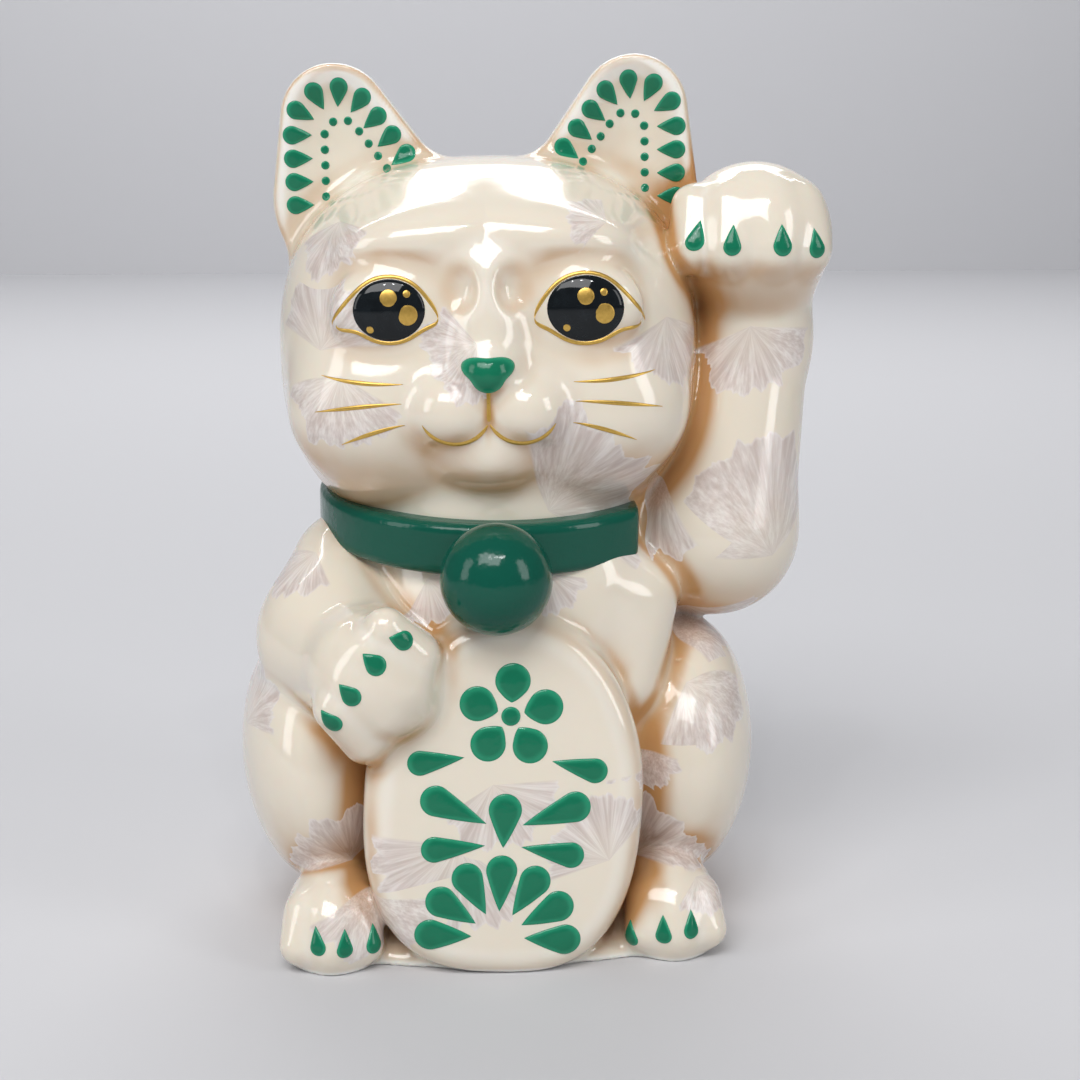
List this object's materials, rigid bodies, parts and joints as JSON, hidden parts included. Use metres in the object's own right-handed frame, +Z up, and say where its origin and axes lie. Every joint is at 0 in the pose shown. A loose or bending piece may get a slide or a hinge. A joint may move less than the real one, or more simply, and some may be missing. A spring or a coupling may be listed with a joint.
{
  "type": "ceramic lucky cat figurine",
  "caption": "Seated glazed ceramic cat with one paw raised, a collar with a round bell and an oval plaque in front.",
  "frame": {"origin": "centre of the foot ring, on the plane that the figure stands on", "axes": "+Z up, the cat faces -Y, +X towards the cat's left, the side of its raised paw"},
  "size_m": [0.1243, 0.1058, 0.1794],
  "materials": {
    "crystal_glaze": "glossy crystalline glaze, ivory with caramel pools",
    "bare_foot": "unglazed fired clay",
    "green_enamel": "glossy raised green enamel",
    "black_enamel": "glossy black enamel",
    "gold_lustre": "fired gold, satin"
  },
  "bodies": {
    "root": {"base_floor": "bare_foot", "bell": "green_enamel", "body_shell": "crystal_glaze", "collar": "green_enamel", "head_shell": "crystal_glaze", "left_ear": "crystal_glaze", "left_ear_petals": "green_enamel", "left_eye": "black_enamel", "left_eye_catchlights": "gold_lustre", "left_eye_outline": "gold_lustre", "left_foot": "crystal_glaze", "left_foot_claws": "green_enamel", "left_haunch": "crystal_glaze", "lowered_arm": "crystal_glaze", "lowered_paw_claws": "green_enamel", "mouth_line": "gold_lustre", "nose": "green_enamel", "plaque": "crystal_glaze", "plaque_ornament": "green_enamel", "raised_arm": "crystal_glaze", "raised_paw_claws": "green_enamel", "right_ear": "crystal_glaze", "right_ear_petals": "green_enamel", "right_eye": "black_enamel", "right_eye_catchlights": "gold_lustre", "right_eye_outline": "gold_lustre", "right_foot": "crystal_glaze", "right_foot_claws": "green_enamel", "right_haunch": "crystal_glaze", "tail": "crystal_glaze", "whiskers": "gold_lustre"}
  },
  "joints": []
}
